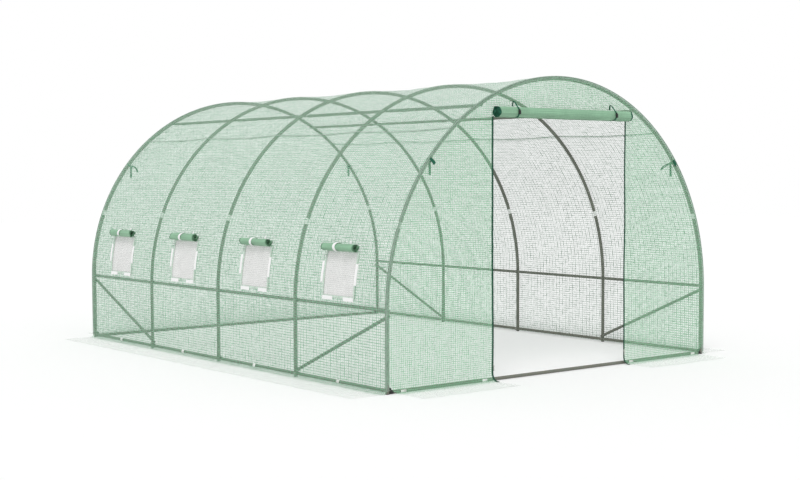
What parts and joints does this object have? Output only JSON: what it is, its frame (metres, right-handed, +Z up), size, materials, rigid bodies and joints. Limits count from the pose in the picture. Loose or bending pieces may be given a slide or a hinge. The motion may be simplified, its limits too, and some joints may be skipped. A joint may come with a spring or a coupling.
{
  "type": "polytunnel greenhouse",
  "caption": "Walk-in polytunnel: round steel hoops, purlins, rails and corner braces under a woven cover with a roll-up door, roll-up side windows and a ground skirt.",
  "frame": {"origin": "on the ground, in the middle of the tunnel", "axes": "+Y runs along the tunnel from the door end to the plain end; +X is across it, away from the windows; +Z is up"},
  "size_m": [3.5466, 4.5466, 2.0028],
  "materials": {
    "coated_steel": "satin olive-grey coat",
    "cover_fabric": "translucent woven polyethylene",
    "rolled_fabric": "rolled woven polyethylene",
    "insect_mesh": "fine open mesh",
    "white_plastic": "satin",
    "black_plastic": "satin",
    "green_webbing": "woven tape"
  },
  "bodies": {
    "root": {"base_rail_back": "coated_steel", "base_rail_front": "coated_steel", "base_rail_left": "coated_steel", "base_rail_right": "coated_steel", "braces_back": "coated_steel", "braces_front": "coated_steel", "corner_fittings": "black_plastic", "cover_back": "cover_fabric", "cover_clips": "white_plastic", "cover_front_header": "cover_fabric", "cover_front_left": "cover_fabric", "cover_front_right": "cover_fabric", "cover_left_wall": "cover_fabric", "cover_right_wall": "cover_fabric", "cover_roof": "cover_fabric", "door_roll": "rolled_fabric", "door_straps": "green_webbing", "door_toggles": "black_plastic", "door_zips": "green_webbing", "foot_caps": "black_plastic", "hoop_1_crown": "coated_steel", "hoop_1_legs": "coated_steel", "hoop_1_shoulders": "coated_steel", "hoop_2_crown": "coated_steel", "hoop_2_legs": "coated_steel", "hoop_2_shoulders": "coated_steel", "hoop_3_crown": "coated_steel", "hoop_3_legs": "coated_steel", "hoop_3_shoulders": "coated_steel", "hoop_4_crown": "coated_steel", "hoop_4_legs": "coated_steel", "hoop_4_shoulders": "coated_steel", "hoop_5_crown": "coated_steel", "hoop_5_legs": "coated_steel", "hoop_5_shoulders": "coated_steel", "hoop_ties": "green_webbing", "joint_sleeves": "white_plastic", "mid_rail_left": "coated_steel", "mid_rail_right": "coated_steel", "purlin_left": "coated_steel", "purlin_right": "coated_steel", "skirt_back": "cover_fabric", "skirt_front": "cover_fabric", "skirt_left": "cover_fabric", "skirt_right": "cover_fabric", "window_roll_straps": "white_plastic", "window_rolls": "rolled_fabric", "window_screens": "insect_mesh"}
  },
  "joints": []
}
